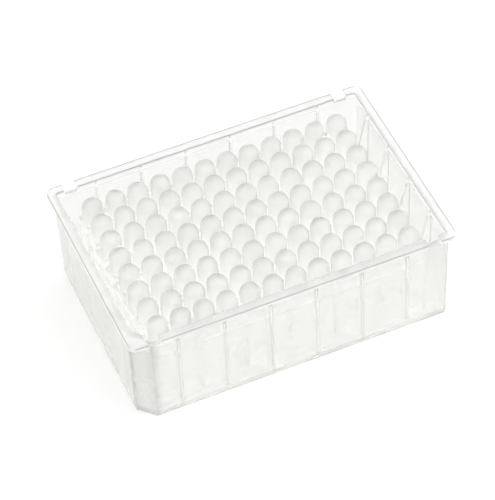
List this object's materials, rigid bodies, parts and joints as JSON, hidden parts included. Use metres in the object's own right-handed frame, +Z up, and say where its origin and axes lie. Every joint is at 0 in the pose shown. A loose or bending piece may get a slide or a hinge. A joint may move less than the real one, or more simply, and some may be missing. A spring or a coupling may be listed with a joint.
{
  "type": "well plate",
  "caption": "Deep-well storage plate: a grid of closed wells with round bottoms inside a flanged skirt, standing upside down on its deck.",
  "frame": {"origin": "centre of the deck face, which lies on the table", "axes": "+X along the long side, +Y along the short side, +Z up towards the rim; the cut corner is at -X -Y"},
  "size_m": [0.1278, 0.0854, 0.0434],
  "materials": {
    "natural_polypropylene": "translucent satin"
  },
  "bodies": {
    "root": {"well_plate": "natural_polypropylene"}
  },
  "joints": []
}
